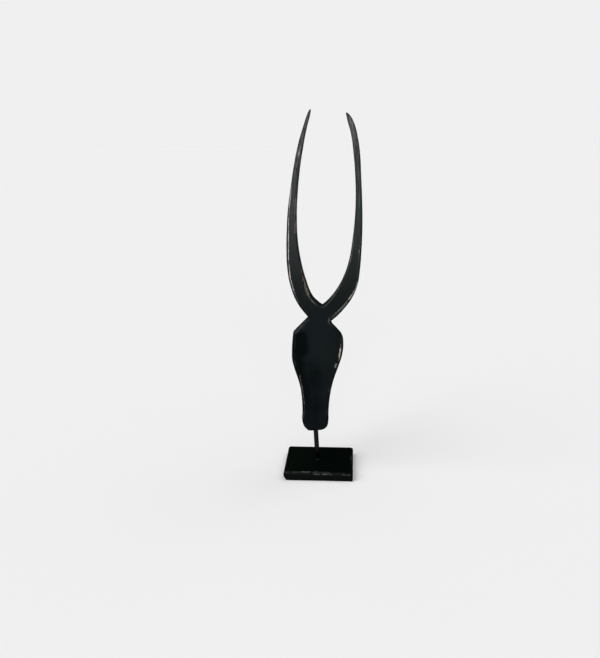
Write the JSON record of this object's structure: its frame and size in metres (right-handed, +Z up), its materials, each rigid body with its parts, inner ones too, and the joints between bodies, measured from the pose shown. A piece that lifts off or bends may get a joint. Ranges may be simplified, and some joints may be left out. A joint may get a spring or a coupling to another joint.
{
  "type": "horned head ornament",
  "caption": "Tall flat wooden antelope head ornament with a pair of long lyre-shaped horns, on a thin rod and a square foot.",
  "frame": {"origin": "middle of the foot's underside, where it rests", "axes": "+Z up, +Y away from a viewer who faces the flat head, through the board's thickness, and +X to that viewer's right"},
  "size_m": [0.127, 0.116, 0.6],
  "materials": {
    "board_paint": "satin black paint on wood, rubbed through to bare wood along its edges and greyed towards the horns' tips",
    "rod_paint": "satin black paint on a round metal rod",
    "foot_paint": "satin black paint on wood, rubbed through to bare wood along the chamfer"
  },
  "bodies": {
    "root": {"horned_head": "board_paint", "rod": "rod_paint", "foot": "foot_paint"}
  },
  "joints": []
}
